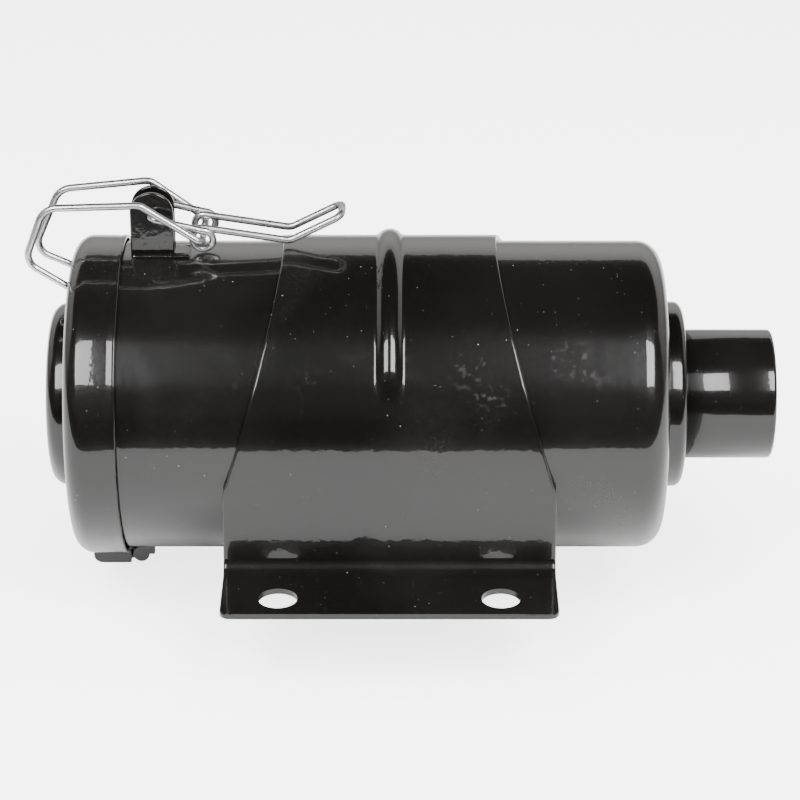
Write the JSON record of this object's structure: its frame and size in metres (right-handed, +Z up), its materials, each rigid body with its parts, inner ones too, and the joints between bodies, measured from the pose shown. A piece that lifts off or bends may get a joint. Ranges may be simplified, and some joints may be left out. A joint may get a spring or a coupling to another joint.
{
  "type": "inline canister filter",
  "caption": "Black sheet-steel canister filter on a saddle bracket, with an end outlet, a bottom inlet, a hinged end cover held by a wire-bail latch and a pleated element inside.",
  "frame": {"origin": "centre of the bracket's foot holes, on the undersides of the feet", "axes": "+X along the can towards the outlet spigot, +Z up from the feet towards the latch, +Y across the can, away from the side that faces the viewer"},
  "size_m": [0.2562, 0.177, 0.1482],
  "materials": {
    "black_paint": "gloss",
    "zinc_wire": "satin",
    "tinplate": "satin",
    "rubber": "matte",
    "filter_paper": "matte"
  },
  "bodies": {
    "housing": {"canister_shell": "black_paint", "outlet_collar": "black_paint", "outlet_spigot": "black_paint", "inlet_spigot": "black_paint", "mounting_strap": "black_paint", "latch_bracket": "black_paint", "hinge_lug": "black_paint", "hinge_pin": "black_paint", "element_open_cap": "tinplate", "element_closed_cap": "tinplate", "element_core": "tinplate", "element_media": "filter_paper", "element_liner": "tinplate", "element_seal": "rubber"},
    "cover": {"cover_cap": "black_paint", "cover_gasket": "rubber", "hinge_tab": "black_paint", "tab_rivet": "black_paint", "element_spring": "zinc_wire"},
    "lever": {"latch_lever": "zinc_wire"},
    "bail": {"latch_bail": "zinc_wire"}
  },
  "joints": [
    {"name": "latch_lever", "type": "hinge", "parent": "housing", "child": "lever", "pos_m": [-0.0807, 0, 0.1093], "axis": [0, -1, 0], "range_deg": [0, 100]},
    {"name": "cover_hinge", "type": "hinge", "parent": "housing", "child": "cover", "pos_m": [-0.0885, 0, -0.019], "axis": [0, -1, 0], "range_deg": [0, 90]},
    {"name": "bail_pivot", "type": "hinge", "parent": "lever", "child": "bail", "pos_m": [-0.0633, 0, 0.1015], "axis": [0, -1, 0], "range_deg": [-160, 0], "deforming": ["latch_bail"]}
  ],
  "couplings": [
    {"joint": "cover_hinge", "follows": "latch_lever", "ratio": 0.9},
    {"joint": "bail_pivot", "follows": "latch_lever", "ratio": -1.6}
  ]
}
